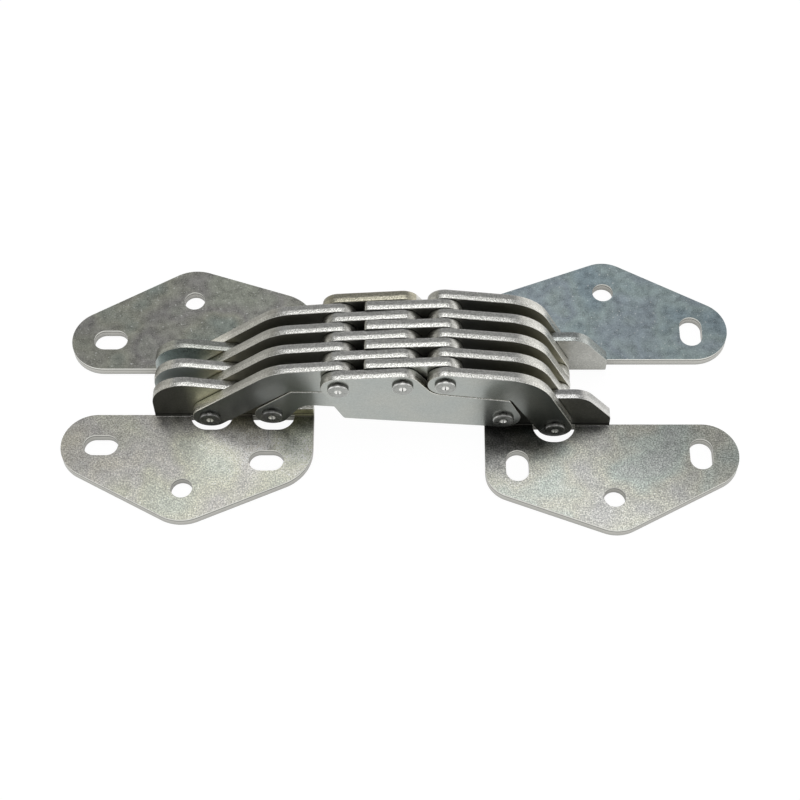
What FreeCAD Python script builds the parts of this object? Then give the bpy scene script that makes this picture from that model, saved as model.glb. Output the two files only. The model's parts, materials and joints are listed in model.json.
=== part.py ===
import FreeCAD, Part

import math
import os

import Sketcher

# Concealed door hinge: two pairs of screw ears joined by a pack of pressed links on seven riveted pins.
# Millimetres. +Z is up, Z = 0 is the mounting face under the ears, Y = 0 is the middle of the link pack
# and X runs across the hinge, from the left bracket to the right one. The hinge is modelled laid flat open.

OUTPUT_FOLDER = "parts"

# Driving dimensions, each one a cell of the sheet: name and millimetres.
SIZES = [
    # Pressed sheet and the pack of nine layers
    ("sheet", 3.0),
    ("side_gap", 0.2),
    ("link_gap", 0.3),
    ("end_radius", 5.0),
    # Pin A in the left bracket, then the steps from pin to pin
    ("pin_a_reach", 54.1),
    ("pin_a_height", 7.15),
    ("base_run", 17.85),
    ("base_rise", 1.5),
    ("arm_run", 37.45),
    ("arm_rise", 20.7),
    ("crank_run", 11.75),
    ("crank_rise", 0.6),
    ("reach_run", 28.35),
    ("reach_drop", 17.25),
    ("toe_run", 14.95),
    ("toe_drop", 5.5),
    # Pins and their holes
    ("shank_radius", 2.25),
    ("head_radius", 2.95),
    ("head_height", 1.0),
    ("head_seat_gap", 0.05),
    ("running_gap", 0.05),
    ("loop_gap", 1.2),
    ("punch_radius", 0.65),
    ("punch_depth", 0.45),
    # Left arm, from pin A to pin C
    ("elbow_radius", 1.35),
    ("back_bend_radius", 15.0),
    ("heel_radius", 4.0),
    # Left cross link, through pins B, D and E
    ("arch_radius", 5.0),
    ("arch_gap", 1.65),
    ("keel_radius", 2.0),
    ("shoulder_run", 9.8),
    ("shoulder_rise", 3.5),
    ("shoulder_radius", 1.0),
    ("pocket_radius", 3.0),
    # Right cross link, through pins C, D and F
    ("chin_run", 1.9),
    ("chin_radius", 1.2),
    ("knee_run", 1.05),
    ("knee_rise", 8.5),
    ("knee_radius", 0.8),
    # Right arm, from pin E to pin G
    ("crown_radius", 15.0),
    # Upright flanges and middle plates of the left bracket
    ("left_nose_run", 6.9),
    ("left_nose_rise", 2.45),
    ("left_nose_radius", 9.5),
    ("left_boss_radius", 6.2),
    ("stub_height", 6.3),
    ("stub_radius", 1.2),
    ("plate_foot", 1.0),
    # Upright flanges and middle plates of the right bracket
    ("right_boss_radius", 4.95),
    ("toe_top_run", 5.0),
    ("toe_top_rise", 4.5),
    ("toe_top_radius", 6.5),
    ("toe_end_run", 14.0),
    ("toe_end_drop", 0.3),
    ("toe_end_radius", 2.0),
    # Screw ears: distances run outwards from the bracket's inner edge and sideways from its flange
    ("edge_past_b", 11.65),
    ("bend_inner", 0.6),
    ("bend_outer", 2.8),
    ("tip_out", 62.3),
    ("tip_radius", 10.1),
    ("left_apex_out", 36.65),
    ("left_front_apex_side", 22.4),
    ("left_back_apex_side", 22.9),
    ("left_apex_radius", 11.7),
    ("left_front_corner_side", 10.5),
    ("left_back_corner_side", 13.7),
    ("left_corner_radius", 12.8),
    ("right_apex_out", 36.5),
    ("right_front_apex_side", 24.3),
    ("right_back_apex_side", 24.3),
    ("right_apex_radius", 9.9),
    ("right_front_corner_side", 14.9),
    ("right_back_corner_side", 14.9),
    ("right_corner_radius", 8.75),
    # Screw holes
    ("screw_radius", 3.1),
    ("slot_radius", 3.3),
    ("slot_travel", 1.7),
    ("left_tip_slot_out", 60.95),
    ("left_tip_slot_side", 10.0),
    ("left_hole_out", 36.9),
    ("left_hole_side", 23.9),
    ("left_root_slot_out", 13.25),
    ("left_root_slot_side", 15.0),
    ("right_tip_slot_out", 61.7),
    ("right_tip_slot_side", 9.7),
    ("right_hole_out", 36.3),
    ("right_hole_side", 23.6),
    ("right_root_slot_out", 9.15),
    ("right_root_slot_side", 13.5),
    # Notches that let the link ends sink into the ears
    ("notch_half", 6.1),
    ("left_notch_radius", 4.85),
    ("left_notch_depth", 4.9),
    ("right_notch_radius", 5.65),
    ("right_notch_depth", 5.8),
]

# Layers of the pack, counted from the middle one, towards the front (-Y) and the back (+Y).
LEFT_LINK_LAYERS = (-3, -1, 1, 3)
RIGHT_LINK_LAYERS = (-4, -2, 0, 2, 4)
FLANGE_LAYERS = {"left": {"front": -2, "back": 2}, "right": {"front": -3, "back": 3}}
LEFT_MIDDLE_LAYERS = (0,)
RIGHT_MIDDLE_LAYERS = (-1, 1)

# Where a link bends, as shares of its run and of its rise from one pin to the next.
ELBOW_SHARES = (0.646, 0.601)
BACK_BEND_SHARES = (0.678, 0.449)
KEEL_SHARES = (0.567, 0.287)
CHIN_SHARES = (0.0, 0.93)
CROWN_SHARES = (0.502, 0.533)

# Signs along X for the two brackets and along Y for their ears.
HANDS = {"left": -1, "right": 1}
SIDES = {"front": -1, "back": 1}

CONVEX = 1
CONCAVE = -1
NEAR = 1e-4

# The numbers that a sketch gives to its origin and to the points of a line or an arc.
ORIGIN = (-1, 1)
START = 1
END = 2
CENTRE = 3

doc = FreeCAD.newDocument("door_hinge")
sheet = doc.addObject("Spreadsheet::Sheet", "Sizes")
for row, (alias, number) in enumerate(SIZES, start=1):
    sheet.set("A%d" % row, alias)
    sheet.set("B%d" % row, str(number))
    sheet.setAlias("B%d" % row, alias)
doc.recompute()


class Length:
    """A length that holds both its millimetres and the sheet expression that gives them."""

    def __init__(self, text, mm):
        self.text = text
        self.mm = mm

    def __add__(self, other):
        other = as_length(other)
        return Length("(%s + %s)" % (self.text, other.text), self.mm + other.mm)

    def __sub__(self, other):
        other = as_length(other)
        return Length("(%s - %s)" % (self.text, other.text), self.mm - other.mm)

    def __neg__(self):
        return Length("(-1 * %s)" % self.text, -self.mm)

    def __mul__(self, factor):
        return Length("(%s * %s)" % (self.text, factor), self.mm * factor)


def as_length(value):
    """A plain number becomes a Length."""
    if isinstance(value, Length):
        return value
    return Length("(%s)" % value, float(value))


def size(alias):
    """The Length of one cell of the sheet."""
    return Length("Sizes." + alias, float(sheet.get(alias)))


ZERO = as_length(0)


class Round:
    """One round of an outline: its centre, its radius and whether it bulges out or cuts in."""

    def __init__(self, x, y, radius, turn=CONVEX):
        self.x = x
        self.y = y
        self.radius = radius
        self.turn = turn

    def signed_radius(self):
        return self.radius.mm * self.turn


class Corner:
    """One sharp corner of an outline."""

    def __init__(self, x, y):
        self.x = x
        self.y = y

    def signed_radius(self):
        return 0.0


def tangent_points(first, second):
    """The straight run between two rounds of an outline that is followed with the metal on the left."""
    across = second.x.mm - first.x.mm
    up = second.y.mm - first.y.mm
    change = second.signed_radius() - first.signed_radius()
    heading = math.atan2(up, across) - math.asin(change / math.hypot(across, up))
    outward = (math.sin(heading), -math.cos(heading))
    ends = []
    for node in (first, second):
        reach = node.signed_radius()
        ends.append(FreeCAD.Vector(node.x.mm + reach * outward[0], node.y.mm + reach * outward[1], 0))
    return ends


def constrain(sketch, kind, references, length):
    """A dimension of a sketch, bound to its expression."""
    index = sketch.addConstraint(Sketcher.Constraint(kind, *references, length.mm))
    sketch.setExpression("Constraints[%d]" % index, length.text)


def place_point(sketch, geometry, point, x, y):
    """Puts a point of a sketch at its distances from the origin."""
    constrain(sketch, "DistanceX", (*ORIGIN, geometry, point), x)
    constrain(sketch, "DistanceY", (*ORIGIN, geometry, point), y)


def add_arc(sketch, node, arrival, departure):
    """The arc of one round, and which of its ends meets the run before it and the run after it."""
    centre = FreeCAD.Vector(node.x.mm, node.y.mm, 0)
    circle = Part.Circle(centre, FreeCAD.Vector(0, 0, 1), node.radius.mm)
    start, stop = (arrival, departure) if node.turn == CONVEX else (departure, arrival)
    begin_angle = math.atan2(start.y - centre.y, start.x - centre.x)
    end_angle = math.atan2(stop.y - centre.y, stop.x - centre.x)
    if end_angle <= begin_angle:
        end_angle += 2 * math.pi
    arc = sketch.addGeometry(Part.ArcOfCircle(circle, begin_angle, end_angle), False)
    place_point(sketch, arc, CENTRE, node.x, node.y)
    constrain(sketch, "Radius", (arc,), node.radius)
    return (arc, START, END) if node.turn == CONVEX else (arc, END, START)


def add_outline(sketch, nodes):
    """A closed outline of rounds and corners joined by straight runs, metal on the left."""
    count = len(nodes)
    runs = [tangent_points(nodes[i], nodes[(i + 1) % count]) for i in range(count)]
    lines = [sketch.addGeometry(Part.LineSegment(run[0], run[1]), False) for run in runs]
    for i, node in enumerate(nodes):
        before = lines[i - 1]
        after = lines[i]
        if isinstance(node, Corner):
            sketch.addConstraint(Sketcher.Constraint("Coincident", before, END, after, START))
            place_point(sketch, after, START, node.x, node.y)
            continue
        arc, arrives, departs = add_arc(sketch, node, runs[i - 1][1], runs[i][0])
        sketch.addConstraint(Sketcher.Constraint("Tangent", before, END, arc, arrives))
        sketch.addConstraint(Sketcher.Constraint("Tangent", arc, departs, after, START))


def add_hole(sketch, x, y, radius):
    """A round hole of a sketch."""
    centre = FreeCAD.Vector(x.mm, y.mm, 0)
    hole = sketch.addGeometry(Part.Circle(centre, FreeCAD.Vector(0, 0, 1), radius.mm), False)
    place_point(sketch, hole, CENTRE, x, y)
    constrain(sketch, "Radius", (hole,), radius)


def new_body(label):
    """An empty body whose label names its file."""
    body = doc.addObject("PartDesign::Body", label)
    body.Label = label
    body.Placement = FreeCAD.Placement()
    return body


def new_sketch(body, name, plane):
    """A sketch on one of the body's own origin planes."""
    sketch = body.newObject("Sketcher::SketchObject", body.Name + "_" + name)
    feature = [f for f in body.Origin.OriginFeatures if f.Role == plane][0]
    sketch.AttachmentSupport = [(feature, "")]
    sketch.MapMode = "FlatFace"
    return sketch


def layer_y(layer):
    """The middle of a layer of the pack."""
    return (size("sheet") + size("side_gap")) * layer


def pad(body, sketch, name, thickness, centred):
    """Sheet metal of one thickness, to one side of its sketch or centred on it."""
    feature = body.newObject("PartDesign::Pad", body.Name + "_" + name)
    feature.Profile = sketch
    feature.SideType = "Symmetric" if centred else "One side"
    feature.Length = thickness.mm
    feature.setExpression("Length", thickness.text)
    sketch.Visibility = False
    body.Tip = feature
    return feature


def upright_plate(body, name, layer, nodes, holes):
    """An upright plate in one layer of the pack, with its pin holes."""
    sketch = new_sketch(body, name + "_outline", "XZ_Plane")
    away = -layer_y(layer)
    sketch.AttachmentOffset = FreeCAD.Placement(FreeCAD.Vector(0, 0, away.mm), FreeCAD.Rotation())
    sketch.setExpression("AttachmentOffset.Base.z", away.text)
    add_outline(sketch, nodes)
    for pin, radius in holes:
        add_hole(sketch, pin[0], pin[1], radius)
    pad(body, sketch, name, size("sheet"), True)


# Pin centres, as (x, z)
PIN_A = (-size("pin_a_reach"), size("pin_a_height"))
PIN_B = (PIN_A[0] + size("base_run"), PIN_A[1] + size("base_rise"))
PIN_C = (PIN_A[0] + size("arm_run"), PIN_A[1] + size("arm_rise"))
PIN_D = (PIN_B[0] + size("arm_run"), PIN_B[1] + size("arm_rise"))
PIN_E = (PIN_D[0] + size("crank_run"), PIN_D[1] + size("crank_rise"))
PIN_F = (PIN_D[0] + size("reach_run"), PIN_D[1] - size("reach_drop"))
PIN_G = (PIN_F[0] + size("toe_run"), PIN_F[1] - size("toe_drop"))

# The linkage is a closed loop: the right bracket's holes for pin G are wide, all the others run on their pins.
HOLE_RADIUS = size("shank_radius") + size("running_gap")
LOOP_HOLE_RADIUS = size("shank_radius") + size("loop_gap")
BRACKET_HOLES = {
    "left": [(PIN_A, HOLE_RADIUS), (PIN_B, HOLE_RADIUS)],
    "right": [(PIN_F, HOLE_RADIUS), (PIN_G, LOOP_HOLE_RADIUS)],
}


def between(first, second, shares):
    """A point at its shares of the way across and up from one pin to another."""
    across = (second[0] - first[0]) * shares[0]
    up = (second[1] - first[1]) * shares[1]
    return (first[0] + across, first[1] + up)


# The inner bend that the left arm and the left cross link share, and the knee of the right links
ELBOW = between(PIN_A, PIN_C, ELBOW_SHARES)
KNEE = (PIN_F[0] + size("knee_run"), PIN_F[1] + size("knee_rise"))


def link_end(pin):
    """The round end of a link at a pin."""
    return Round(pin[0], pin[1], size("end_radius"))


def left_arm_nodes():
    """Pin A to pin C: a bar bent at the elbow, with a deep heel under pin C."""
    elbow_radius = size("elbow_radius") + size("link_gap")
    heel = size("heel_radius")
    heel_x = PIN_C[0] + size("end_radius") - heel
    heel_z = ELBOW[1] + elbow_radius + heel
    bend = between(PIN_A, PIN_C, BACK_BEND_SHARES)
    return [
        link_end(PIN_A),
        Round(ELBOW[0], ELBOW[1], elbow_radius, CONCAVE),
        Round(heel_x, heel_z, heel),
        link_end(PIN_C),
        Round(bend[0], bend[1], size("back_bend_radius")),
    ]


def left_cross_nodes():
    """Pins B, D and E: it lies under the left arm and rises beside its end to the shoulder."""
    shoulder = size("shoulder_radius")
    shoulder_x = PIN_D[0] - size("shoulder_run")
    shoulder_z = PIN_D[1] + size("shoulder_rise")
    pocket = size("pocket_radius")
    pocket_x = shoulder_x - shoulder - pocket
    pocket_z = ELBOW[1] + size("elbow_radius") + pocket
    arch_x = PIN_B[0] + size("end_radius") + size("arch_radius") + size("arch_gap")
    keel = between(PIN_B, PIN_D, KEEL_SHARES)
    return [
        link_end(PIN_B),
        Round(arch_x, PIN_B[1], size("arch_radius"), CONCAVE),
        Round(keel[0], keel[1], size("keel_radius")),
        link_end(PIN_E),
        Round(shoulder_x, shoulder_z, shoulder),
        Round(pocket_x, pocket_z, pocket, CONCAVE),
        Round(ELBOW[0], ELBOW[1], size("elbow_radius")),
    ]


def right_cross_nodes():
    """Pins C, D and F: its upper edge is hollowed round the right arm's end at pin E."""
    chin_x = PIN_C[0] + size("chin_run")
    chin_z = between(PIN_C, PIN_F, CHIN_SHARES)[1]
    return [
        Round(chin_x, chin_z, size("chin_radius")),
        link_end(PIN_F),
        Round(KNEE[0], KNEE[1], size("knee_radius")),
        Round(PIN_E[0], PIN_E[1], size("end_radius") + size("link_gap"), CONCAVE),
        link_end(PIN_D),
        link_end(PIN_C),
    ]


def right_arm_nodes():
    """Pin E to pin G: a bar bent over the knee of the right cross link."""
    crown = between(PIN_E, PIN_G, CROWN_SHARES)
    return [
        link_end(PIN_E),
        Round(KNEE[0], KNEE[1], size("knee_radius") + size("link_gap"), CONCAVE),
        link_end(PIN_G),
        Round(crown[0], crown[1], size("crown_radius")),
    ]


# The inner edges of the two brackets, and where their uprights end beyond the outer pins
INNER_EDGES = {
    "left": PIN_B[0] + size("edge_past_b"),
    "right": PIN_F[0] - size("right_boss_radius"),
}
FLANGE_ENDS = {
    "left": PIN_A[0] - size("left_nose_run") - size("left_nose_radius"),
    "right": PIN_G[0] + size("toe_end_run") + size("toe_end_radius"),
}


def left_upright_nodes(foot):
    """The upright of the left bracket, from its foot to the rounded nose above pin A."""
    inner_x = INNER_EDGES["left"]
    outer_x = FLANGE_ENDS["left"]
    nose_x = PIN_A[0] - size("left_nose_run")
    nose_z = PIN_A[1] + size("left_nose_rise")
    stub_x = PIN_B[0] + size("left_boss_radius") + size("stub_radius")
    stub_z = size("stub_height") + size("stub_radius")
    return [
        Corner(outer_x, foot),
        Corner(inner_x, foot),
        Corner(inner_x, size("stub_height")),
        Round(stub_x, stub_z, size("stub_radius"), CONCAVE),
        Round(PIN_B[0], PIN_B[1], size("left_boss_radius")),
        Round(nose_x, nose_z, size("left_nose_radius")),
    ]


def right_upright_nodes():
    """The upright flange of the right bracket, from the mounting face to its sloping toe."""
    inner_x = INNER_EDGES["right"]
    outer_x = FLANGE_ENDS["right"]
    toe_end_x = PIN_G[0] + size("toe_end_run")
    toe_end_z = PIN_G[1] - size("toe_end_drop")
    toe_top_x = PIN_G[0] + size("toe_top_run")
    toe_top_z = PIN_G[1] + size("toe_top_rise")
    return [
        Corner(inner_x, ZERO),
        Corner(outer_x, ZERO),
        Round(toe_end_x, toe_end_z, size("toe_end_radius")),
        Round(toe_top_x, toe_top_z, size("toe_top_radius")),
        Round(PIN_F[0], PIN_F[1], size("right_boss_radius")),
    ]


class EarPlan:
    """The plan of one ear: distances run outwards from the inner edge and sideways from the flange face."""

    def __init__(self, hand_name, place):
        self.name = hand_name
        self.place = place
        self.hand = HANDS[hand_name]
        self.side = SIDES[place]
        self.layer = FLANGE_LAYERS[hand_name][place]
        self.edge = INNER_EDGES[hand_name]
        self.face = layer_y(FLANGE_LAYERS[hand_name]["back"]) + size("sheet") * 0.5

    def x(self, outwards):
        return self.edge + outwards * self.hand

    def y(self, sideways):
        return (self.face + sideways) * self.side

    def ordered(self, nodes):
        """Keeps the metal on the left: every mirroring of a right ear at the back turns the order round."""
        return nodes if self.hand * self.side > 0 else nodes[::-1]

    def round(self, outwards, sideways, radius):
        return Round(self.x(outwards), self.y(sideways), radius)

    def corner(self, outwards, sideways):
        return Corner(self.x(outwards), self.y(sideways))


def ear_outline(plan):
    """A rounded triangle: straight along the flange, a long tip outwards and an apex sideways."""
    apex_out = size(plan.name + "_apex_out")
    apex_side = size("%s_%s_apex_side" % (plan.name, plan.place))
    corner_side = size("%s_%s_corner_side" % (plan.name, plan.place))
    corner = size(plan.name + "_corner_radius")
    return plan.ordered([
        plan.corner(ZERO, ZERO),
        plan.round(size("tip_out"), size("tip_radius"), size("tip_radius")),
        plan.round(apex_out, apex_side, size(plan.name + "_apex_radius")),
        plan.round(corner, corner_side, corner),
    ])


def slot_outline(plan, place):
    """A slot with round ends: the left ears' slots run outwards, the right ears' slots run sideways."""
    out = size("%s_%s_slot_out" % (plan.name, place))
    sideways = size("%s_%s_slot_side" % (plan.name, place))
    travel = size("slot_travel")
    radius = size("slot_radius")
    if plan.name == "left":
        ends = [(out - travel, sideways), (out + travel, sideways)]
    else:
        ends = [(out, sideways - travel), (out, sideways + travel)]
    return plan.ordered([plan.round(x, y, radius) for x, y in ends])


def notch_outline(plan, pin):
    """A notch beside a pin, open along the flange, with two round corners."""
    half = size("notch_half")
    radius = size(plan.name + "_notch_radius")
    depth = size(plan.name + "_notch_depth")
    middle = (pin[0] - plan.edge) * plan.hand
    return plan.ordered([
        plan.corner(middle - half, ZERO),
        plan.corner(middle + half, ZERO),
        plan.round(middle + half - radius, depth - radius, radius),
        plan.round(middle - half + radius, depth - radius, radius),
    ])


def add_ear(body, plan):
    """The flat ear with its two slots and its round screw hole."""
    sketch = new_sketch(body, "ear_outline", "XY_Plane")
    add_outline(sketch, ear_outline(plan))
    for place in ("tip", "root"):
        add_outline(sketch, slot_outline(plan, place))
    hole_x = plan.x(size(plan.name + "_hole_out"))
    hole_y = plan.y(size(plan.name + "_hole_side"))
    add_hole(sketch, hole_x, hole_y, size("screw_radius"))
    pad(body, sketch, "ear", size("sheet"), False)


def add_inside_bend(body, plan):
    """The hollow of the bend, where the top of the ear turns up into the flange."""
    sketch = new_sketch(body, "bend_profile", "YZ_Plane")
    sketch.AttachmentOffset = FreeCAD.Placement(FreeCAD.Vector(0, 0, plan.edge.mm), FreeCAD.Rotation())
    sketch.setExpression("AttachmentOffset.Base.z", plan.edge.text)
    top = size("sheet")
    half = top * 0.5
    bend = size("bend_inner")
    nodes = [
        Corner(plan.y(-half), half),
        Corner(plan.y(half), half),
        Corner(plan.y(half), top),
        Round(plan.y(bend), top + bend, bend, CONCAVE),
        Corner(plan.y(ZERO), top + half),
        Corner(plan.y(-half), top + half),
    ]
    add_outline(sketch, nodes if plan.side > 0 else nodes[::-1])
    length = (FLANGE_ENDS[plan.name] - plan.edge) * plan.hand
    strip = pad(body, sketch, "bend_inside", length, False)
    strip.Reversed = plan.hand < 0


def add_outside_bend(body, plan):
    """Rounds the edge under the flange, where the sheet turns up from the mounting face."""
    doc.recompute()
    base = body.Tip
    y = plan.y(-size("sheet")).mm
    under = []
    for index, edge in enumerate(base.Shape.Edges, start=1):
        if all(abs(vertex.Y - y) < NEAR and abs(vertex.Z) < NEAR for vertex in edge.Vertexes):
            under.append("Edge%d" % index)
    feature = body.newObject("PartDesign::Fillet", body.Name + "_bend_outside")
    feature.Base = (base, under)
    feature.Radius = size("bend_outer").mm
    feature.setExpression("Radius", size("bend_outer").text)
    body.Tip = feature


def cut_through(body, sketch, name):
    """Cuts a sketch through the whole body, both ways from its plane."""
    doc.recompute()
    whole = body.Tip.Shape.Volume
    cut = body.newObject("PartDesign::Pocket", body.Name + "_" + name)
    cut.Profile = sketch
    cut.Type = "ThroughAll"
    cut.SideType = "Symmetric"
    sketch.Visibility = False
    body.Tip = cut
    doc.recompute()
    if cut.Shape.Volume >= whole:
        raise ValueError("the %s of %s cut nothing" % (name, body.Label))


def cut_notches(body, plan, pins):
    """The notches through the ear, up to the face of the flange."""
    sketch = new_sketch(body, "notch_outline", "XY_Plane")
    for pin in pins:
        add_outline(sketch, notch_outline(plan, pin))
    cut_through(body, sketch, "notches")


def cut_pin_holes(body, holes):
    """The pin holes through the flange."""
    sketch = new_sketch(body, "hole_circles", "XZ_Plane")
    for pin, radius in holes:
        add_hole(sketch, pin[0], pin[1], radius)
    cut_through(body, sketch, "pin_holes")


def bracket_ear(hand_name, place):
    """A pressed ear with the upright flange that is bent up along it."""
    plan = EarPlan(hand_name, place)
    body = new_body("%s_%s_ear" % (hand_name, place))
    if hand_name == "left":
        nodes = left_upright_nodes(ZERO)
        notched = [PIN_A, PIN_B]
    else:
        nodes = right_upright_nodes()
        notched = [PIN_G]
    upright_plate(body, "flange", plan.layer, nodes, [])
    add_ear(body, plan)
    add_inside_bend(body, plan)
    add_outside_bend(body, plan)
    cut_notches(body, plan, notched)
    cut_pin_holes(body, BRACKET_HOLES[hand_name])
    return body


def plates(label, layers, nodes, holes):
    """A run of equal plates, one in each of its layers."""
    made = []
    for number, layer in enumerate(layers, start=1):
        body = new_body("%s_%d" % (label, number) if len(layers) > 1 else label)
        upright_plate(body, "plate", layer, nodes, holes)
        made.append(body)
    return made


def pivot_pin(letter, pin, outer_layer):
    """A riveted pin: a shank through the pack with a flat head, punched in its centre, at both ends."""
    body = new_body("pivot_pin_" + letter)
    sketch = new_sketch(body, "profile", "XY_Plane")
    sketch.AttachmentOffset = FreeCAD.Placement(
        FreeCAD.Vector(pin[0].mm, 0, pin[1].mm), FreeCAD.Rotation()
    )
    sketch.setExpression("AttachmentOffset.Base.x", pin[0].text)
    sketch.setExpression("AttachmentOffset.Base.z", pin[1].text)
    seat = layer_y(outer_layer) + size("sheet") * 0.5 + size("head_seat_gap")
    crown = seat + size("head_height")
    dimple = crown - size("punch_depth")
    shank = size("shank_radius")
    head = size("head_radius")
    punch = size("punch_radius")
    add_outline(sketch, [
        Corner(ZERO, -dimple),
        Corner(punch, -crown),
        Corner(head, -crown),
        Corner(head, -seat),
        Corner(shank, -seat),
        Corner(shank, seat),
        Corner(head, seat),
        Corner(head, crown),
        Corner(punch, crown),
        Corner(ZERO, dimple),
    ])
    turned = body.newObject("PartDesign::Revolution", body.Name + "_turned")
    turned.Profile = sketch
    turned.ReferenceAxis = (sketch, ["V_Axis"])
    turned.Angle = 360
    sketch.Visibility = False
    body.Tip = turned
    return body


parts = []

# The two brackets, each a front and a back ear with plates between them
for hand_name in HANDS:
    for place in SIDES:
        parts.append(bracket_ear(hand_name, place))
left_middle_nodes = left_upright_nodes(size("plate_foot"))
parts += plates("left_middle_plate", LEFT_MIDDLE_LAYERS, left_middle_nodes, BRACKET_HOLES["left"])
right_middle_nodes = [link_end(PIN_F), link_end(PIN_G)]
parts += plates("right_middle_plate", RIGHT_MIDDLE_LAYERS, right_middle_nodes, BRACKET_HOLES["right"])

# The four kinds of link
LINKS = [
    ("left_arm", LEFT_LINK_LAYERS, left_arm_nodes(), (PIN_A, PIN_C)),
    ("left_cross_link", LEFT_LINK_LAYERS, left_cross_nodes(), (PIN_B, PIN_D, PIN_E)),
    ("right_cross_link", RIGHT_LINK_LAYERS, right_cross_nodes(), (PIN_C, PIN_D, PIN_F)),
    ("right_arm", RIGHT_LINK_LAYERS, right_arm_nodes(), (PIN_E, PIN_G)),
]
for label, layers, nodes, pins in LINKS:
    parts += plates(label, layers, nodes, [(pin, HOLE_RADIUS) for pin in pins])

# The seven pins: A and B reach the second layers, the others go through the whole pack
for letter, pin in (("a", PIN_A), ("b", PIN_B)):
    parts.append(pivot_pin(letter, pin, LEFT_LINK_LAYERS[-1]))
for letter, pin in (("c", PIN_C), ("d", PIN_D), ("e", PIN_E), ("f", PIN_F), ("g", PIN_G)):
    parts.append(pivot_pin(letter, pin, RIGHT_LINK_LAYERS[-1]))

doc.recompute()
for item in doc.Objects:
    if "Invalid" in item.State or "Error" in item.State:
        raise ValueError("%s failed: %s" % (item.Label, item.State))
for part in parts:
    if part.Shape.isNull() or not part.Shape.isValid():
        raise ValueError("%s has no valid shape" % part.Label)
    if len(part.Shape.Solids) != 1:
        raise ValueError("%s is not one solid" % part.Label)

os.makedirs(OUTPUT_FOLDER, exist_ok=True)
for part in parts:
    part.Shape.exportStep(os.path.join(OUTPUT_FOLDER, part.Label + ".step"))
    print("%s %.1f mm3" % (part.Label, part.Shape.Volume))
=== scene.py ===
from collections import namedtuple
import json
import math

import bmesh
import bpy
from mathutils import Matrix, Vector


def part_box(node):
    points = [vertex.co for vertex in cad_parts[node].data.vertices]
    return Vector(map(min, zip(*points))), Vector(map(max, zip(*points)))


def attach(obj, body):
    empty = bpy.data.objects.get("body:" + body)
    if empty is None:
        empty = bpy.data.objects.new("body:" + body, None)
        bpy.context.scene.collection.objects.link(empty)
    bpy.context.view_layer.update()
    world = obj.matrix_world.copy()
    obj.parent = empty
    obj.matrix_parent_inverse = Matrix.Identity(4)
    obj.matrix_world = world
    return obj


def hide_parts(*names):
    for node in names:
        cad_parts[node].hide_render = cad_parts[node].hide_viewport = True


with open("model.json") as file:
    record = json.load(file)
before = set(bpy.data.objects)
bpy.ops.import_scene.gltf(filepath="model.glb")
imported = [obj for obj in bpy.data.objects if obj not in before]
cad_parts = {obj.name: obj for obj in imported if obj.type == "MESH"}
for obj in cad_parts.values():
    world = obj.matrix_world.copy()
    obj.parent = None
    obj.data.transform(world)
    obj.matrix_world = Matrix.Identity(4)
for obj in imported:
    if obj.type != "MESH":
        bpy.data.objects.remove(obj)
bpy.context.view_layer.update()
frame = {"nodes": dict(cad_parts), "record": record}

MM = 0.001
NODES = frame["nodes"]
BODIES = frame["record"]["behaviour"]["bodies"]
BODY_OF = {node: body for body, nodes in BODIES.items() for node in nodes}

# The camera, fitted to the photograph: its place in metres, and its right and forward directions.
CAMERA_PLACE = (0.004859, -0.284252, 0.472733)
CAMERA_RIGHT = (0.999964, 0.004191, -0.007335)
CAMERA_FORWARD = (-0.008446, 0.513866, -0.857829)
CAMERA_LENS_MM = 84.86
SENSOR_MM = 36.0

# The studio: brightness against the cosine of the angle from the overhead light, and a dark part of the room
# round the camera.
OVERHEAD = (0.0, 0.10, 0.995)
STUDIO = [
    (0.0, 0.52), (0.4, 0.48), (0.6, 0.30), (0.74, 0.15), (0.87, 0.15),
    (0.893, 0.22), (0.918, 0.52), (0.945, 0.9), (1.0, 1.0),
]
STUDIO_STRENGTH = 2.0
CAMERA_SIDE = (0.008, -0.514, 0.858)
DARK_ROOM = [(0.86, 1.0), (0.915, 0.35), (0.955, 0.05)]

# The floor: how much of what the camera and the metal see of it is its own glow, and how wide its contact
# shade is.
FLOOR_WIDTH = 6.0
FLOOR_COLOUR = (0.95, 0.95, 0.95, 1.0)
FLOOR_GLOW = 0.9
GLOW_STRENGTH = 1.06
CONTACT_MM = 8.0
WHITE = (1.0, 1.0, 1.0, 1.0)

# The pack of nine layers: its sheet and pitch, and the flanges' outer faces from the middle of the pack.
SHEET_MM = 3.0
LAYER_PITCH_MM = 3.2
LAYERS = 9
LEFT_FACE_MM = 2 * LAYER_PITCH_MM + SHEET_MM / 2
RIGHT_FACE_MM = 3 * LAYER_PITCH_MM + SHEET_MM / 2

# The edge of a pressed plate and of its holes, from the front face to the back one: inset and depth.
EDGE_PROFILE_MM = [
    (0.20, 0.0), (0.13, 0.05), (0.09, 0.2), (0.05, 0.6), (0.015, 1.1),
    (0.0, 1.5), (0.03, 1.9), (0.12, 2.5), (0.20, 2.93), (0.26, SHEET_MM),
]
HOLE_PROFILE_MM = [(0.08, 0.0), (0.0, 0.08), (0.0, 2.92), (0.08, SHEET_MM)]
PLATE_CREASE = 50

# A pin head, from the bottom of its punch mark to the plate: radius and depth below the crown.
SHANK_RADIUS_MM = 2.25
HEAD_RADIUS_MM = 2.95
HEAD_HEIGHT_MM = 1.0
HEAD_PROFILE_MM = [
    (0.05, 0.50), (0.95, 0.07), (1.10, 0.01), (1.25, 0.0), (2.72, 0.0),
    (2.84, 0.05), (2.90, 0.30), (HEAD_RADIUS_MM, 0.38), (HEAD_RADIUS_MM, HEAD_HEIGHT_MM),
]
PIN_SIDES = 48
PIN_CREASE = 35

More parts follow.
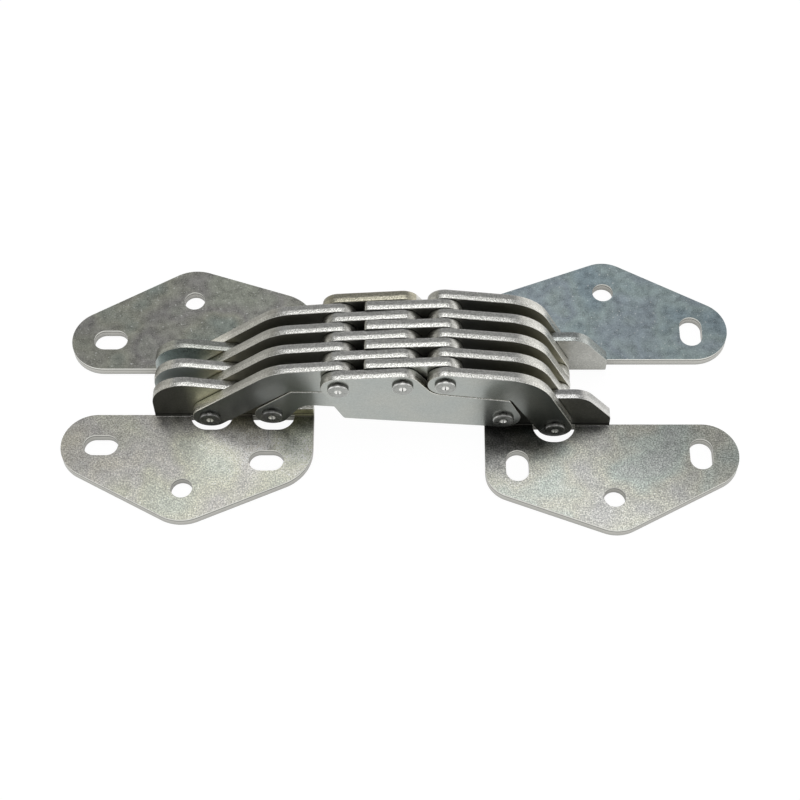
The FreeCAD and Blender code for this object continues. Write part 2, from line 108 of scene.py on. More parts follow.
# The colours of a pin head, by distance from its middle: a painted highlight on the punch mark with painted
# shade in its slit, a painted highlight on the rim, and painted shadow at the foot.
PUNCH_RADIUS_MM = 1.0
SLIT_MM = 0.06
SLIT_TAPER = -0.12
RIM_FROM_MM = 2.8
FOOT_FROM_MM = 2.935
PUNCH_COLOUR = (0.85, 0.85, 0.82)
SLIT_COLOUR = (0.02, 0.02, 0.02)
RIM_COLOUR = (0.85, 0.85, 0.83)
FOOT_COLOUR = (0.16, 0.16, 0.15)

# The softened edges of the ears.
EAR_BEVEL_MM = 0.5
EAR_BEVEL_STEPS = 5
EAR_CREASE = 40

# Coordinates nearer to each other than this are the same, in metres.
NEAR = 1e-5
WELD = 1e-6


def greys(stops):
    """Stops of a ramp as grey colours."""
    return [(place, (shade, shade, shade)) for place, shade in stops]


# Painted light and shade against the place along the hinge in millimetres: painted shade towards the ends on
# the links' outer faces and on the pin heads, and a painted highlight on the edges that slant to the left.
LINK_TONE = greys([
    (-42, 0.42), (-30, 0.58), (-26, 0.66), (-20, 1.0), (20, 0.94), (28, 0.85), (36, 0.50), (42, 0.32),
])
HEAD_TONE = greys([(-36, 0.35), (-30, 1.0), (24, 1.0), (29, 0.5), (42, 0.35)])
LEFT_ARM_SHINE = greys([(-67, 1.0), (-61, 2.6), (-54, 2.6), (-47, 1.0)])

# Painted shade on the faces inside the pack, with painted light towards its ends, against the same place.
INNER_LIGHT_AND_SHADE = [
    (-75, (0.66, 0.73, 0.72)), (-58, (0.66, 0.71, 0.69)), (-51, (0.80, 0.76, 0.58)), (-46, (0.36, 0.35, 0.29)),
    (-15, (0.22, 0.22, 0.20)), (20, (0.19, 0.19, 0.175)), (36, (0.36, 0.35, 0.28)), (52, (0.70, 0.68, 0.54)),
]
# A face further out than this, from the middle of the pack, is outside it: the change begins and ends here.
OUTSIDE_MM = (9.0, 10.5)

# The left end of the rearmost link is tarnished brown: behind and left of these places.
TARNISH = (0.72, 0.69, 0.58)
TARNISH_Y_MM = 11
TARNISH_X_MM = 5

# Painted shade and painted light on each flange, as its colour against the place along the hinge.
LEFT_FLANGE = [
    (-70, (0.12, 0.12, 0.105)), (-61, (0.15, 0.15, 0.13)), (-57, (0.46, 0.46, 0.35)), (-50, (0.46, 0.46, 0.35)),
    (-42, (0.17, 0.16, 0.12)), (-35, (0.17, 0.16, 0.12)), (-30, (0.85, 0.82, 0.52)),
]
RIGHT_FLANGE = [(30, (0.10, 0.10, 0.09)), (50, (0.13, 0.13, 0.115)), (62, (0.16, 0.16, 0.14))]
BACK_LEFT_FLANGE = [
    (-75, (0.50, 0.55, 0.54)), (-58, (0.50, 0.54, 0.52)), (-51, (0.62, 0.60, 0.48)), (-40, (0.30, 0.30, 0.25)),
]
BACK_RIGHT_FLANGE = [(30, (0.3, 0.3, 0.28)), (50, (0.42, 0.42, 0.39))]

# An ear's cut edge, from its lower face to its upper one, with a painted shade line under a painted highlight
# at the top.
EAR_EDGE = [
    (0.0, (0.52, 0.52, 0.49)), (0.64, (0.60, 0.59, 0.55)), (0.68, (0.22, 0.22, 0.20)),
    (0.78, (0.22, 0.22, 0.20)), (0.82, (0.80, 0.80, 0.75)), (1.0, (0.80, 0.80, 0.75)),
]
RIM_ROUGHNESS = 0.16

# The painted shade in an ear's inner corner: where it fades out and where it is full, along the hinge and then
# away from the flange, in millimetres, and its share.
EAR_CORNER_SHADE = (46, 32, 9.0, 2.5, 0.65)
RIGHT_FRONT_CORNER_SHADE = (52, 42, 14.5, 5.5, 0.75)

# The height of an upright plate's cut edge against the share of its thickness, rolled down at both faces.
ROLLED = [
    (0.03, 0.0), (0.08, 0.55), (0.2, 0.78), (0.38, 0.94), (0.5, 1.0), (0.62, 0.87), (0.8, 0.45), (0.95, 0.1),
]
ROLLED_MM = 0.2

# How high the grain of each surface stands, in millimetres.
FLECK_DEPTH_MM = 0.012
TORN_DEPTH_MM = 0.08
FACE_DEPTH_MM = 0.01
RIVET_DEPTH_MM = 0.05

# The heights that part an ear from its flange: its upper face, the bend, and the lowest cut edge of the flange.
SHEET_TOP_MM = (3.005, 3.06)
EAR_RIM_TOP_MM = 3.001
BEND_TOP_MM = 4.2
BEND_FOOT_MM = 3.6
BEND_SHADE = 0.22
FLANGE_EDGE_MM = 3.7

# How one ear looks: the place of its flange's outer face, the tints of its clouds, darker on the back ears as
# painted shade, its flange's painted shade and light, its roughness, its painted light and shade at its tip and
# at its apex, how much painted light it has beside the pack, how strong its flecks are, the tint and painted
# shade of the flange's cut edge, and the painted shade in its inner corner.
EarFinish = namedtuple("EarFinish", "face_mm tints flange roughness tones beside grit top_tint soot")
EARS = {
    "left_front_ear": EarFinish(
        face_mm=LEFT_FACE_MM,
        tints=[(0.45, 0.47, 0.42), (0.50, 0.50, 0.43), (0.47, 0.46, 0.44), (0.53, 0.51, 0.45)],
        flange=LEFT_FLANGE, roughness=0.36, tones=(0.82, 1.32), beside=0.5, grit=0.9,
        top_tint=(1.0, 1.0, 1.0), soot=EAR_CORNER_SHADE,
    ),
    # Darker tints than the front ears': painted shade.
    "left_back_ear": EarFinish(
        face_mm=LEFT_FACE_MM,
        tints=[(0.26, 0.29, 0.265), (0.32, 0.325, 0.28), (0.285, 0.28, 0.27), (0.33, 0.345, 0.30)],
        flange=BACK_LEFT_FLANGE, roughness=0.26, tones=(0.85, 1.0), beside=0.0, grit=0.5,
        top_tint=(0.72, 0.74, 0.72), soot=EAR_CORNER_SHADE,
    ),
    "right_front_ear": EarFinish(
        face_mm=RIGHT_FACE_MM,
        tints=[(0.42, 0.44, 0.43), (0.45, 0.49, 0.46), (0.48, 0.48, 0.43), (0.44, 0.44, 0.43)],
        flange=RIGHT_FLANGE, roughness=0.36, tones=(0.66, 1.42), beside=0.1, grit=1.0,
        top_tint=(0.87, 0.87, 0.90), soot=RIGHT_FRONT_CORNER_SHADE,
    ),
    # Darker, bluish tints than the front ears': painted shade with a blue tint.
    "right_back_ear": EarFinish(
        face_mm=RIGHT_FACE_MM,
        tints=[(0.28, 0.35, 0.385), (0.35, 0.425, 0.43), (0.315, 0.37, 0.41), (0.36, 0.43, 0.425)],
        flange=BACK_RIGHT_FLANGE, roughness=0.26, tones=(0.85, 1.0), beside=0.0, grit=0.4,
        top_tint=(0.72, 0.76, 0.78), soot=EAR_CORNER_SHADE,
    ),
}


class Nodes:
    """A short way to write a node tree."""

    def __init__(self, tree):
        self.tree = tree
        tree.nodes.clear()

    def add(self, kind, settings=None, **inputs):
        """A node with its settings. Its inputs go by name, or by number as _0, _1 and so on."""
        node = self.tree.nodes.new(kind)
        for name, value in (settings or {}).items():
            setattr(node, name, value)
        for name, value in inputs.items():
            numbered = name[0] == "_" and name[1:].isdigit()
            key = int(name[1:]) if numbered else name.replace("_", " ")
            self.fill(node.inputs[key], value)
        return node

    def fill(self, socket, value):
        """A link where the value is another node's output, and else a constant."""
        if isinstance(value, bpy.types.NodeSocket):
            self.tree.links.new(value, socket)
        else:
            socket.default_value = value

    def math(self, operation, first, second=0.0, third=0.0):
        node = self.add("ShaderNodeMath", {"operation": operation}, _0=first, _1=second, _2=third)
        return node.outputs[0]

    def split(self, vector):
        """The x, y and z of a vector."""
        return self.add("ShaderNodeSeparateXYZ", {}, Vector=vector).outputs

    def smooth(self, value, low, high, start=0.0, end=1.0):
        """A smooth step from start to end while the value goes from low to high."""
        node = self.add("ShaderNodeMapRange", {"interpolation_type": "SMOOTHSTEP"}, Value=value)
        node.inputs["From Min"].default_value = low
        node.inputs["From Max"].default_value = high
        node.inputs["To Min"].default_value = start
        node.inputs["To Max"].default_value = end
        return node.outputs[0]

    def ramp(self, value, stops):
        node = self.add("ShaderNodeValToRGB", {}, Fac=value)
        band = node.color_ramp
        while len(band.elements) > 1:
            band.elements.remove(band.elements[-1])
        band.elements[0].position = stops[0][0]
        band.elements[0].color = (*stops[0][1], 1.0)
        for place, colour in stops[1:]:
            band.elements.new(place).color = (*colour, 1.0)
        return node.outputs[0]

    def curve(self, value, stops):
        """A smooth grey curve through its stops, for a height."""
        ramp = self.ramp(value, greys(stops))
        ramp.node.color_ramp.interpolation = "B_SPLINE"
        return ramp

    def along_hinge(self, x, stops):
        """The colour for a place along the hinge, from stops between -100 and 100 millimetres."""
        share = self.math("MULTIPLY_ADD", x, 5.0, 0.5)
        return self.ramp(share, [(0.5 + place * 0.005, colour) for place, colour in stops])

    def mix(self, factor, first, second, blend="MIX"):
        node = self.add("ShaderNodeMix", {"data_type": "RGBA", "blend_type": blend})
        for index, value in ((0, factor), (6, first), (7, second)):
            self.fill(node.inputs[index], (*value, 1.0) if isinstance(value, tuple) else value)
        return node.outputs[2]

    def tinted(self, colour, tint, share=1.0):
        """A colour multiplied by a tint."""
        return self.mix(share, colour, tint, "MULTIPLY")

    def noise(self, place, scale, detail=2.0, roughness=0.5):
        node = self.add(
            "ShaderNodeTexNoise", {}, Vector=place, Scale=scale, Detail=detail, Roughness=roughness
        )
        return node.outputs[0]


def metal(name, build):
    """A metal material whose colour, roughness and bump come from build."""
    material = bpy.data.materials.new(name)
    material.use_nodes = True
    nodes = Nodes(material.node_tree)
    place = nodes.add("ShaderNodeTexCoord")
    colour, roughness, height, depth = build(nodes, place.outputs["Object"], place.outputs["Normal"])
    bump = nodes.add("ShaderNodeBump", {}, Height=height, Strength=1.0, Distance=depth)
    shader = nodes.add(
        "ShaderNodeBsdfPrincipled", {},
        Base_Color=colour, Roughness=roughness, Metallic=1.0, Normal=bump.outputs[0],
    )
    nodes.add("ShaderNodeOutputMaterial", {}, Surface=shader.outputs[0])
    return material


def ear_zinc(finish):
    """Zinc plate on an ear: its sheet and flange, and their cut edges."""

    def build(nodes, place, normal):
        flecks = nodes.noise(place, 2300.0, 2.0, 0.6)
        flecked = nodes.ramp(flecks, [
            (0.34, (0.60, 0.60, 0.60)), (0.5, (0.98, 0.98, 0.98)), (0.68, (1.60, 1.60, 1.58)),
        ])
        sheet, polish = speckled_sheet(nodes, place, finish, flecked)
        cut, above = cut_mask(nodes, place, normal, finish.face_mm)
        sheet = flange_over(nodes, place, finish, sheet, flecked)
        top_colour, top_roughness, sparks, depth = sheared(nodes, place, normal)
        # A tint and painted shade on the flange's cut edge.
        top_colour = nodes.tinted(top_colour, finish.top_tint)
        z = nodes.split(place)[2]
        rim_colour = nodes.ramp(nodes.math("MULTIPLY", z, 1.0 / (SHEET_MM * MM)), EAR_EDGE)
        colour = nodes.mix(cut, sheet, nodes.mix(above, rim_colour, top_colour))
        polish = worn_polish(nodes, normal, above, polish)
        on_top = nodes.math("MULTIPLY", cut, above)
        rougher = nodes.math("SUBTRACT", top_roughness, polish)
        roughness = nodes.math("MULTIPLY_ADD", on_top, rougher, polish)
        rolled = nodes.math("MULTIPLY", nodes.curve(depth, ROLLED), ROLLED_MM * MM)
        rolled = nodes.math("MULTIPLY_ADD", sparks, TORN_DEPTH_MM * MM, rolled)
        grain = nodes.math("MULTIPLY", flecks, FLECK_DEPTH_MM * MM)
        height = nodes.math("MULTIPLY_ADD", on_top, rolled, grain)
        return colour, roughness, height, 1.0

    return build


def speckled_sheet(nodes, place, finish, flecked):
    """The colour and roughness of an ear's faces: clouds, blotches, fine flecks, a few painted glints, and
    painted light and shade from ear_tone.
    """
    clouds = nodes.noise(place, 48.0, 2.0, 0.55)
    tint = nodes.ramp(clouds, list(zip((0.34, 0.45, 0.55, 0.66), finish.tints)))
    blotches = nodes.noise(place, 420.0, 3.0, 0.6)
    blotched = nodes.ramp(blotches, [(0.3, (0.82, 0.82, 0.82)), (0.7, (1.16, 1.16, 1.15))])
    sheet = nodes.tinted(nodes.tinted(tint, blotched), flecked, finish.grit)
    # A few painted glints.
    glints = nodes.noise(place, 1300.0, 1.0, 0.5)
    sheet = nodes.mix(nodes.smooth(glints, 0.68, 0.74, 0.0, 0.55), sheet, (0.85, 0.87, 0.85))
    sheet = nodes.tinted(sheet, ear_tone(nodes, place, finish))
    polish = nodes.smooth(blotches, 0.3, 0.7, finish.roughness, finish.roughness + 0.10)
    return sheet, polish


def ear_tone(nodes, place, finish):
    """Painted light and shade on an ear: by its distance from the tip, painted light beside the pack, and
    painted shade in the crease and in the corner.
    """
    x, y, _ = nodes.split(place)
    along = nodes.math("ABSOLUTE", x)
    out = nodes.math("SUBTRACT", nodes.math("ABSOLUTE", y), finish.face_mm * MM)
    past_middle = nodes.math("SUBTRACT", along, 60 * MM)
    slope = nodes.math("MULTIPLY_ADD", past_middle, -0.5, nodes.math("ADD", out, 10 * MM))
    tone = nodes.smooth(slope, 0.0, 44 * MM, *finish.tones)
    beside = nodes.smooth(along, 62 * MM, 52 * MM)
    lit = nodes.math("MULTIPLY", nodes.smooth(out, 2.5 * MM, 6.0 * MM), nodes.smooth(out, 26 * MM, 9.0 * MM))
    crease = nodes.math("MULTIPLY", nodes.smooth(out, 3.5 * MM, 0.6 * MM), -0.5)
    change = nodes.math("MULTIPLY", beside, nodes.math("MULTIPLY_ADD", lit, finish.beside, crease))
    far, near, wide, close, share = finish.soot
    inner = nodes.smooth(along, far * MM, near * MM)
    corner = nodes.math("MULTIPLY", inner, nodes.smooth(out, wide * MM, close * MM))
    open_tone = nodes.math("MULTIPLY_ADD", corner, -share, 1.0)
    return nodes.math("MULTIPLY", nodes.math("MULTIPLY", tone, open_tone), nodes.math("ADD", change, 1.0))


def flange_over(nodes, place, finish, sheet, flecked):
    """The sheet's colour, and the flange's over it, with painted shade and light along the hinge and painted
    shade on its outer face at the bend.
    """
    x, y, z = nodes.split(place)
    aside = nodes.math("ABSOLUTE", y)
    flange = nodes.tinted(nodes.along_hinge(x, finish.flange), flecked, 0.3)
    shade = nodes.smooth(z, BEND_TOP_MM * MM, BEND_FOOT_MM * MM, 1.0, BEND_SHADE)
    outer = nodes.math("GREATER_THAN", aside, (finish.face_mm - 0.1) * MM)
    flange = nodes.mix(outer, flange, nodes.tinted(flange, shade))
    upright = nodes.math("LESS_THAN", aside, finish.face_mm * MM)
    low, high = SHEET_TOP_MM
    upper = nodes.math("MAXIMUM", nodes.smooth(z, low * MM, high * MM), upright)
    return nodes.mix(upper, sheet, flange)


def worn_polish(nodes, normal, above, polish):
    """The roughness of the faces, and a smoother one on the rounded rim of the sheet."""
    lying = nodes.math("ABSOLUTE", nodes.split(normal)[2])
    worn = nodes.math("MULTIPLY", nodes.smooth(lying, 0.995, 0.96), nodes.smooth(lying, 0.55, 0.8))
    worn = nodes.math("MULTIPLY", worn, nodes.math("SUBTRACT", 1.0, above))
    return nodes.math("MULTIPLY_ADD", worn, nodes.math("SUBTRACT", RIM_ROUGHNESS, polish), polish)


def cut_mask(nodes, place, normal, face_mm):
    """One on the cut edges of an ear and zero on its sheet, and one above the bend and zero below it."""
    _, y, z = nodes.split(place)
    off_x, off_y, off_z = [nodes.math("ABSOLUTE", side) for side in nodes.split(normal)]
    ear = nodes.smooth(off_z, 0.85, 0.65)
    flange = nodes.smooth(off_y, 0.85, 0.65)
    bend = nodes.smooth(off_x, 0.55, 0.75)
    beside = nodes.math("GREATER_THAN", nodes.math("ABSOLUTE", y), (face_mm - 0.35) * MM)
    beside = nodes.math("MULTIPLY", beside, nodes.math("LESS_THAN", z, EAR_RIM_TOP_MM * MM))
    above = nodes.math("GREATER_THAN", z, FLANGE_EDGE_MM * MM)
    low = nodes.math("MULTIPLY_ADD", beside, nodes.math("SUBTRACT", ear, bend), bend)
    return nodes.math("MULTIPLY_ADD", above, nodes.math("SUBTRACT", flange, low), low), above


def link_face(nodes, place, normal):
    """The smooth rolled face of a link: outside the pack, painted shade at the hinge's ends; inside, painted
    shade and light.
    """
    clouds = nodes.noise(place, 90.0, 3.0)
    tint = nodes.ramp(clouds, [(0.35, (0.39, 0.415, 0.395)), (0.65, (0.425, 0.44, 0.41))])
    grain = nodes.noise(place, 1800.0, 2.0)
    flecked = nodes.ramp(grain, greys([(0.3, 0.94), (0.7, 1.05)]))
    x = nodes.split(place)[0]
    open_tone = nodes.tinted(nodes.tinted(tint, flecked), nodes.along_hinge(x, LINK_TONE))
    away = nodes.add("ShaderNodeVectorMath", {"operation": "MULTIPLY"}, _0=place, _1=normal).outputs[0]
    begin, end = OUTSIDE_MM
    outer = nodes.smooth(nodes.split(away)[1], begin * MM, end * MM)
    colour = nodes.mix(outer, nodes.along_hinge(x, INNER_LIGHT_AND_SHADE), open_tone)
    polish = nodes.smooth(clouds, 0.3, 0.7, 0.2, 0.27)
    roughness = nodes.math("MULTIPLY_ADD", nodes.math("SUBTRACT", 1.0, outer), 0.3, polish)
    return colour, roughness, grain, FACE_DEPTH_MM * MM


def sheared(nodes, place, normal):
    """A cut edge of an upright plate: a bright sheared band in front and a dull torn band behind it.
    Where the edge slants, both give way to one colour set by the way it faces: painted shade on edges that face
    left, with a painted highlight on some of them, and a painted highlight on edges that face right."""
    x, y, _ = nodes.split(place)
    depth = nodes.math("FRACT", nodes.math("MULTIPLY_ADD", y, 1.0 / (LAYER_PITCH_MM * MM), LAYERS / 2))
    waver = nodes.noise(place, 420.0, 3.0, 0.6)
    torn = nodes.smooth(nodes.math("MULTIPLY_ADD", waver, 0.24, depth), 0.53, 0.61)
    sparks = nodes.noise(place, 2200.0, 3.0, 0.7)
    bright = nodes.ramp(sparks, [
        (0.32, (0.45, 0.45, 0.42)), (0.5, (0.72, 0.72, 0.68)), (0.64, (0.98, 0.98, 0.95)),
    ])
    dull = nodes.ramp(sparks, [
        (0.32, (0.22, 0.22, 0.21)), (0.5, (0.35, 0.35, 0.335)), (0.68, (0.52, 0.52, 0.50)),
    ])
    # Painted shade facing left, with a painted highlight along the hinge, and a painted highlight facing right.
    left = nodes.ramp(sparks, [(0.32, (0.22, 0.215, 0.185)), (0.68, (0.40, 0.39, 0.34))])
    left = nodes.tinted(left, nodes.along_hinge(x, LEFT_ARM_SHINE))
    right = nodes.ramp(sparks, [(0.32, (0.60, 0.59, 0.54)), (0.68, (0.95, 0.94, 0.88))])
    sideways = nodes.split(normal)[0]
    plain = nodes.mix(nodes.smooth(sideways, -0.1, 0.1), left, right)
    slant = nodes.smooth(nodes.math("ABSOLUTE", sideways), 0.22, 0.45, 0.0, 0.85)
    colour = nodes.mix(slant, nodes.mix(torn, bright, dull), plain)
    return colour, nodes.math("MULTIPLY_ADD", torn, 0.14, 0.26), sparks, depth


def cut_edge(nodes, place, normal):
    """The cut edge of a link. The left end of the rearmost one is tarnished brown."""
    colour, roughness, sparks, _ = sheared(nodes, place, normal)
    x, y, _ = nodes.split(place)
    rear = nodes.math("GREATER_THAN", y, TARNISH_Y_MM * MM)
    tarnished = nodes.math("MULTIPLY", rear, nodes.math("LESS_THAN", x, TARNISH_X_MM * MM))
    colour = nodes.mix(tarnished, colour, nodes.tinted(colour, TARNISH))
    return colour, roughness, sparks, TORN_DEPTH_MM * MM


def rivet_zinc(nodes, place, normal):
    """The rough pin heads, with painted shadow at the foot, a painted highlight on the rim and on the punch
    mark, painted shade in the mark's slit, and painted shade on the heads towards the hinge's ends.
    """
    marks = nodes.noise(place, 1400.0, 3.0, 0.6)
    face = nodes.ramp(marks, [(0.3, (0.27, 0.275, 0.26)), (0.7, (0.42, 0.43, 0.41))])
    across = nodes.split(nodes.add("ShaderNodeTexCoord").outputs["Generated"])
    aside, up = [nodes.math("MULTIPLY_ADD", across[i], 2 * HEAD_RADIUS_MM, -HEAD_RADIUS_MM) for i in (0, 2)]
    squares = nodes.math("ADD", nodes.math("MULTIPLY", aside, aside), nodes.math("MULTIPLY", up, up))
    from_middle = nodes.math("SQRT", squares)
    slit_width = nodes.math("MULTIPLY_ADD", up, SLIT_TAPER, SLIT_MM)
    slit = nodes.math("LESS_THAN", nodes.math("ABSOLUTE", aside), slit_width)
    rim = nodes.math("GREATER_THAN", from_middle, RIM_FROM_MM)
    head = nodes.tinted(nodes.mix(rim, face, RIM_COLOUR), nodes.along_hinge(nodes.split(place)[0], HEAD_TONE))
    punched = nodes.math("LESS_THAN", from_middle, PUNCH_RADIUS_MM)
    colour = nodes.mix(punched, head, nodes.mix(slit, PUNCH_COLOUR, SLIT_COLOUR))
    colour = nodes.mix(nodes.math("GREATER_THAN", from_middle, FOOT_FROM_MM), colour, FOOT_COLOUR)
    roughness = nodes.smooth(marks, 0.3, 0.7, 0.24, 0.38)
    return colour, roughness, marks, RIVET_DEPTH_MM * MM


def new_piece(name, mesh_data, materials, node):
    """A piece of the visual model that stands for a node."""
    piece = bpy.data.objects.new(name, mesh_data)
    bpy.context.scene.collection.objects.link(piece)
    for material in materials:
        mesh_data.materials.append(material)
    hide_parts(node)
    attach(piece, BODY_OF[node])
    return piece


def face_loops(node):
    """The outlines of a plate's front face, the outer one first, as closed lists of x and z."""
    mesh = bmesh.new()
    mesh.from_mesh(NODES[node].data)
    bmesh.ops.remove_doubles(mesh, verts=mesh.verts, dist=WELD)
    front_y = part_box(node)[0][1]
    front = {f for f in mesh.faces if all(abs(v.co.y - front_y) < NEAR for v in f.verts)}
    follow = {}
    for face in front:
        for loop in face.loops:
            if sum(1 for f in loop.edge.link_faces if f in front) == 1:
                follow[loop.vert.index] = loop.link_loop_next.vert.index
    mesh.verts.ensure_lookup_table()
    loops = []
    while follow:
        start, step = next(iter(follow.items()))
        ring = [start]
        while step != start:
            ring.append(step)
            step = follow.pop(step)
        follow.pop(start)
        loops.append([(mesh.verts[i].co.x, mesh.verts[i].co.z) for i in ring])
    mesh.free()
    loops.sort(key=lambda ring: -abs(area(ring)))
    return loops


def area(ring):
    """The area inside a ring, below zero where it runs clockwise."""
    return 0.5 * sum(a[0] * b[1] - b[0] * a[1] for a, b in zip(ring, ring[1:] + ring[:1]))


def inward(ring, distance):
    """The ring moved into the metal: to its left when it runs anticlockwise, as the outer ring does."""
    count = len(ring)
    moved = []
    for i in range(count):
        before = Vector(ring[i]) - Vector(ring[i - 1])
        after = Vector(ring[(i + 1) % count]) - Vector(ring[i])
        first = Vector((-before.y, before.x)).normalized()
        second = Vector((-after.y, after.x)).normalized()
        side = (first + second) / (1.0 + first.dot(second))
        moved.append((ring[i][0] + side.x * distance, ring[i][1] + side.y * distance))
    return moved


def bridge(mesh, first, second):
    """The band of faces between two rings with as many corners."""
    count = len(first)
    pairs = [(i, (i + 1) % count) for i in range(count)]
    return [mesh.faces.new((first[i], first[j], second[j], second[i])) for i, j in pairs]


def fill_cap(mesh, rings):
    """A flat face of a plate, between its outline and its holes."""
    edges = []
    for ring in rings:
        for i in range(len(ring)):
            ends = (ring[i - 1], ring[i])
            edges.append(mesh.edges.get(ends) or mesh.edges.new(ends))
    filled = bmesh.ops.triangle_fill(mesh, use_beauty=True, use_dissolve=False, edges=edges)
    for item in filled["geom"]:
        if isinstance(item, bmesh.types.BMFace):
            item.material_index = 0


def mesh_data_from(mesh, name, crease):
    """The finished mesh, with sharp edges where its faces turn by more than the crease, in degrees."""
    bmesh.ops.recalc_face_normals(mesh, faces=mesh.faces)
    data = bpy.data.meshes.new(name)
    mesh.to_mesh(data)
    mesh.free()
    data.set_sharp_from_angle(angle=math.radians(crease))
    return data


def pressed_plate(node):
    """A link or plate with the rolled-over, sheared and torn edge that a press leaves."""
    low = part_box(node)[0]
    rings = face_loops(node)
    if area(rings[0]) < 0:
        rings[0].reverse()
    mesh = bmesh.new()
    front = []
    back = []
    for index, ring in enumerate(rings):
        if index and area(ring) > 0:
            ring.reverse()
        rows = []
        for inset, depth in HOLE_PROFILE_MM if index else EDGE_PROFILE_MM:
            y = low[1] + depth * MM
            rows.append([mesh.verts.new((x, y, z)) for x, z in inward(ring, inset * MM)])
        for row, following in zip(rows, rows[1:]):
            for face in bridge(mesh, row, following):
                face.material_index = 1
        front.append(rows[0])
        back.append(rows[-1])
    fill_cap(mesh, front)
    fill_cap(mesh, back)
    data = mesh_data_from(mesh, node + "_plate", PLATE_CREASE)
    data.polygons.foreach_set("use_smooth", [face.material_index == 1 for face in data.polygons])
    return new_piece(node + "_pressed", data, [MATERIALS["face"], MATERIALS["edge"]], node)


def riveted_pin(node):
    """A pin with a flat, punched head at both ends."""
    low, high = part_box(node)
    centre_x = 0.5 * (low[0] + high[0])
    centre_z = 0.5 * (low[2] + high[2])
    profile = [(radius, high[1] - depth * MM) for radius, depth in HEAD_PROFILE_MM]
    profile.append((SHANK_RADIUS_MM, high[1] - HEAD_HEIGHT_MM * MM))
    profile += [(radius, low[1] + high[1] - y) for radius, y in reversed(profile)]
    mesh = bmesh.new()
    rings = []
    for radius, y in profile:
        ring = []
        for i in range(PIN_SIDES):
            angle = 2 * math.pi * i / PIN_SIDES
            x = centre_x + radius * MM * math.cos(angle)
            z = centre_z + radius * MM * math.sin(angle)
            ring.append(mesh.verts.new((x, y, z)))
        rings.append(ring)
    mesh.faces.new(rings[0])
    for ring, following in zip(rings, rings[1:]):
        bridge(mesh, ring, following)
    mesh.faces.new(rings[-1])
    for face in mesh.faces:
        face.smooth = True
    data = mesh_data_from(mesh, node + "_turned", PIN_CREASE)
    return new_piece(node + "_riveted", data, [MATERIALS["rivet"]], node)


def dress_ear(node):
    """The ears keep their shape, with softened edges."""
    ear = NODES[node]
    ear.data.materials.clear()
    ear.data.materials.append(MATERIALS[node])
    bevel = ear.modifiers.new("softened_edges", "BEVEL")
    bevel.width = EAR_BEVEL_MM * MM
    bevel.segments = EAR_BEVEL_STEPS
    bevel.limit_method = "ANGLE"
    bevel.angle_limit = math.radians(EAR_CREASE)
    bevel.harden_normals = True


def make_camera():
    """The camera that took the photograph."""
    data = bpy.data.cameras.new("camera")
    data.sensor_width = SENSOR_MM
    data.sensor_fit = "HORIZONTAL"
    data.lens = CAMERA_LENS_MM
    data.clip_start = 0.01
    data.clip_end = 50.0
    camera = bpy.data.objects.new("camera", data)
    right = Vector(CAMERA_RIGHT).normalized()
    back = -Vector(CAMERA_FORWARD).normalized()
    up = back.cross(right).normalized()
    right = up.cross(back).normalized()
    turn = Matrix((right, up, back)).transposed().to_4x4()
    camera.matrix_world = Matrix.Translation(Vector(CAMERA_PLACE)) @ turn
    bpy.context.scene.collection.objects.link(camera)
    bpy.context.scene.camera = camera


def falloff(nodes, look, axis, stops):
    """A grey that depends on the angle between the look and an axis."""
    dot = nodes.add("ShaderNodeVectorMath", {"operation": "DOT_PRODUCT"}, _0=look, _1=axis)
    return nodes.ramp(dot.outputs["Value"], greys(stops))


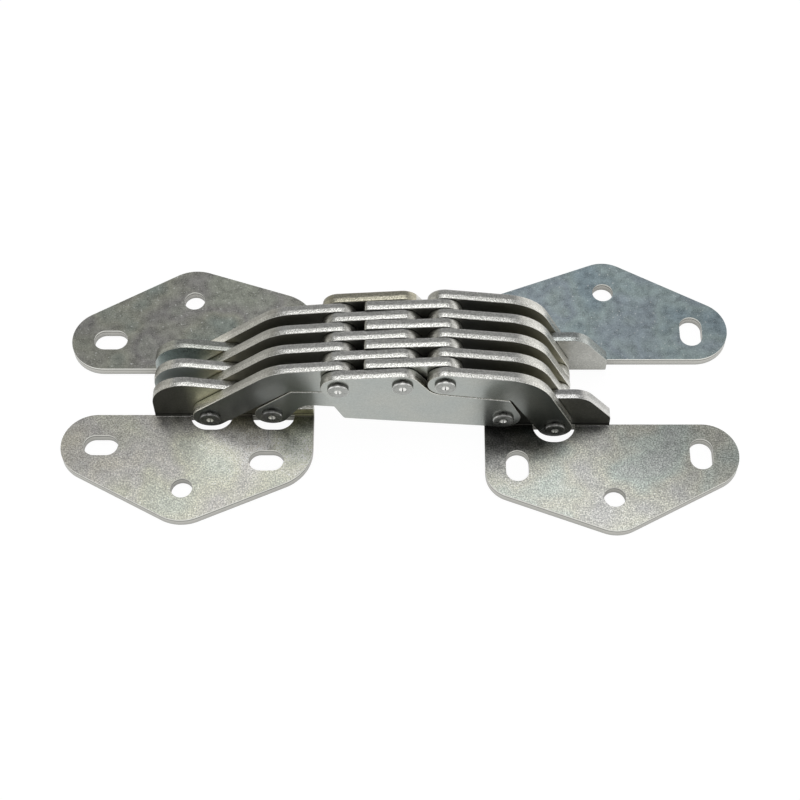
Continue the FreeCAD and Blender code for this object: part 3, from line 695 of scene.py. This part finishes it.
def make_world():
    """A studio: grey walls, a darker ring above them, a large soft light overhead, and dark round the camera.
    The camera itself sees plain white."""
    world = bpy.data.worlds.new("studio")
    bpy.context.scene.world = world
    world.use_nodes = True
    nodes = Nodes(world.node_tree)
    look = nodes.add("ShaderNodeTexCoord").outputs["Generated"]
    level = nodes.tinted(falloff(nodes, look, OVERHEAD, STUDIO), falloff(nodes, look, CAMERA_SIDE, DARK_ROOM))
    sky = nodes.add("ShaderNodeBackground", {}, Color=level, Strength=STUDIO_STRENGTH).outputs[0]
    white = nodes.add("ShaderNodeBackground", {}, Color=WHITE, Strength=1.0).outputs[0]
    seen = nodes.add("ShaderNodeLightPath").outputs["Is Camera Ray"]
    mixed = nodes.add("ShaderNodeMixShader", {}, _0=seen, _1=sky, _2=white)
    nodes.add("ShaderNodeOutputWorld", {}, Surface=mixed.outputs[0])


def make_floor():
    """A plain pale floor that shows white to the camera and to the metal, and keeps the hinge's shadow."""
    bpy.ops.mesh.primitive_plane_add(size=FLOOR_WIDTH, location=(0, 0, 0))
    floor = bpy.context.object
    floor.name = "floor"
    material = bpy.data.materials.new("floor")
    material.use_nodes = True
    nodes = Nodes(material.node_tree)
    path = nodes.add("ShaderNodeLightPath").outputs
    mirrored = nodes.math("MAXIMUM", path["Is Glossy Ray"], path["Is Transmission Ray"])
    open_air = nodes.add("ShaderNodeAmbientOcclusion", {"samples": 8}, Distance=CONTACT_MM * MM).outputs["AO"]
    seen = nodes.math("MAXIMUM", path["Is Camera Ray"], nodes.math("MULTIPLY", mirrored, open_air))
    share = nodes.math("MULTIPLY", seen, FLOOR_GLOW)
    plain = nodes.add("ShaderNodeBsdfDiffuse", {}, Color=FLOOR_COLOUR).outputs[0]
    glow = nodes.add("ShaderNodeEmission", {}, Color=WHITE, Strength=GLOW_STRENGTH).outputs[0]
    mixed = nodes.add("ShaderNodeMixShader", {}, _0=share, _1=plain, _2=glow)
    nodes.add("ShaderNodeOutputMaterial", {}, Surface=mixed.outputs[0])
    floor.data.materials.append(material)


MATERIALS = {node: metal(node.replace("ear", "zinc"), ear_zinc(finish)) for node, finish in EARS.items()}
MATERIALS["face"] = metal("link_face", link_face)
MATERIALS["edge"] = metal("cut_edge", cut_edge)
MATERIALS["rivet"] = metal("rivet_zinc", rivet_zinc)

make_camera()
make_world()
make_floor()
for node in sorted(NODES):
    if node.startswith("pivot_pin"):
        riveted_pin(node)
    elif node in EARS:
        dress_ear(node)
    else:
        pressed_plate(node)

bpy.context.scene.view_settings.view_transform = "Standard"
